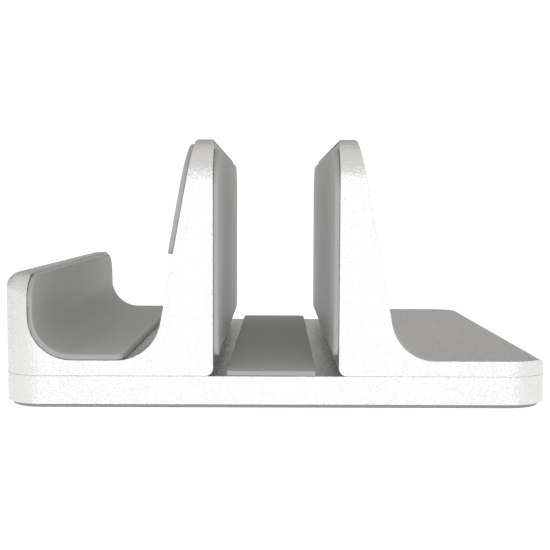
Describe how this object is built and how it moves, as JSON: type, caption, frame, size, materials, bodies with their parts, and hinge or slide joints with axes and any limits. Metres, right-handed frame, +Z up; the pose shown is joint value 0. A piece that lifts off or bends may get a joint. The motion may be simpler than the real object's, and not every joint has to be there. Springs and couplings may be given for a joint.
{
  "type": "adjustable upright laptop stand",
  "caption": "Low aluminium stand with an adjustable padded slot that holds a closed laptop upright, and a padded cradle beside it for a tablet or phone.",
  "frame": {"origin": "middle of the underside, on the table", "axes": "+X towards the side bracket (right, seen from the front), +Y to the back along the slot, +Z up"},
  "size_m": [0.16, 0.142, 0.078],
  "materials": {
    "anodised_aluminium": "bead-blasted and clear anodised, fine speckle",
    "grey_silicone": "matt moulded silicone",
    "foot_rubber": "matt rubber sheet",
    "adhesive_film": "translucent double-sided film",
    "screw_steel": "blackened steel, satin",
    "washer_steel": "zinc plated"
  },
  "bodies": {
    "base": {"base_plate": "anodised_aluminium", "foot_pad": "foot_rubber", "foot_pad_film": "adhesive_film", "slot_floor_strip": "grey_silicone", "slot_floor_film": "adhesive_film"},
    "cradle_side": {"cradle_bracket": "anodised_aluminium", "cradle_liner": "grey_silicone", "cradle_liner_film": "adhesive_film", "cradle_back_pad": "grey_silicone", "cradle_back_film": "adhesive_film", "left_slot_pad": "grey_silicone", "left_slot_film": "adhesive_film", "cradle_front_washer": "washer_steel", "cradle_rear_washer": "washer_steel", "cradle_front_lock_washer": "washer_steel", "cradle_rear_lock_washer": "washer_steel"},
    "plain_side": {"side_bracket": "anodised_aluminium", "right_slot_pad": "grey_silicone", "right_slot_film": "adhesive_film", "side_front_washer": "washer_steel", "side_rear_washer": "washer_steel", "side_front_lock_washer": "washer_steel", "side_rear_lock_washer": "washer_steel"},
    "cradle_front_clamp": {"cradle_front_screw": "screw_steel"},
    "cradle_rear_clamp": {"cradle_rear_screw": "screw_steel"},
    "side_front_clamp": {"side_front_screw": "screw_steel"},
    "side_rear_clamp": {"side_rear_screw": "screw_steel"}
  },
  "joints": [
    {"name": "cradle_slide", "type": "slide", "parent": "base", "child": "cradle_side", "axis": [1, 0, 0], "range_m": [0, 0.0035]},
    {"name": "side_slide", "type": "slide", "parent": "base", "child": "plain_side", "axis": [-1, 0, 0], "range_m": [0, 0.0053]},
    {"name": "cradle_front_turn", "type": "hinge", "parent": "cradle_side", "child": "cradle_front_clamp", "pos_m": [-0.0267, -0.046, 0.003], "axis": [0, 0, 1], "range_deg": [-180, 0]},
    {"name": "cradle_rear_turn", "type": "hinge", "parent": "cradle_side", "child": "cradle_rear_clamp", "pos_m": [-0.0267, 0.046, 0.003], "axis": [0, 0, 1], "range_deg": [-180, 0]},
    {"name": "side_front_turn", "type": "hinge", "parent": "plain_side", "child": "side_front_clamp", "pos_m": [0.0267, -0.046, 0.003], "axis": [0, 0, 1], "range_deg": [-180, 0]},
    {"name": "side_rear_turn", "type": "hinge", "parent": "plain_side", "child": "side_rear_clamp", "pos_m": [0.0267, 0.046, 0.003], "axis": [0, 0, 1], "range_deg": [-180, 0]}
  ]
}
